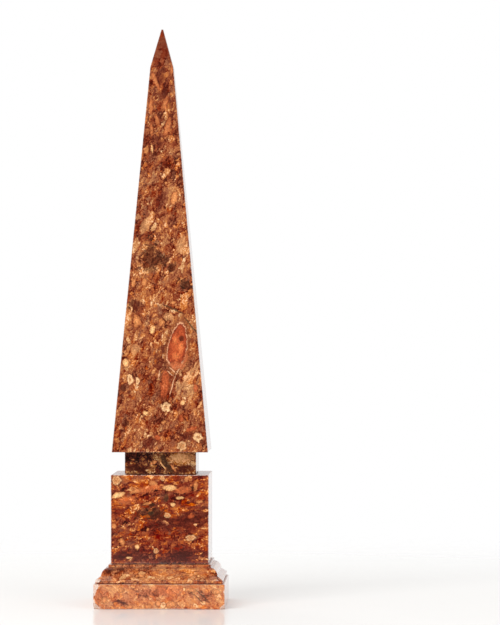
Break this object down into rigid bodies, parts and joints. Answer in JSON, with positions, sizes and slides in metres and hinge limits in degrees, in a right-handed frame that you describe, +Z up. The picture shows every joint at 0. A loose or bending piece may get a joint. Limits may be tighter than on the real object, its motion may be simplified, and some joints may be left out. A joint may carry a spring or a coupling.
{
  "type": "mantel obelisk",
  "caption": "Tapering square obelisk with a pyramid point on a neck, die, moulded base course and slab, in polished red-brown fossil marble; a standing ornament for a mantel or table.",
  "frame": {"origin": "centre of the underside of the base slab", "axes": "+Z up the shaft, -Y towards the chipped front, +X to the right seen from the front"},
  "size_m": [0.1042, 0.1042, 0.4642],
  "materials": {
    "marble": "polished red-brown limestone with cream, honey and dark fossil pieces",
    "cement": "thin dark bedding cement, struck back behind the arrises",
    "iron": "dark iron with dry brown rust"
  },
  "bodies": {
    "root": {"base_slab": "marble", "slab_bed": "cement", "base_course": "marble", "course_bed": "cement", "die": "marble", "die_bed": "cement", "neck": "marble", "neck_bed": "cement", "shaft": "marble", "tie_rod": "iron", "washer": "iron", "nut": "iron"}
  },
  "joints": []
}
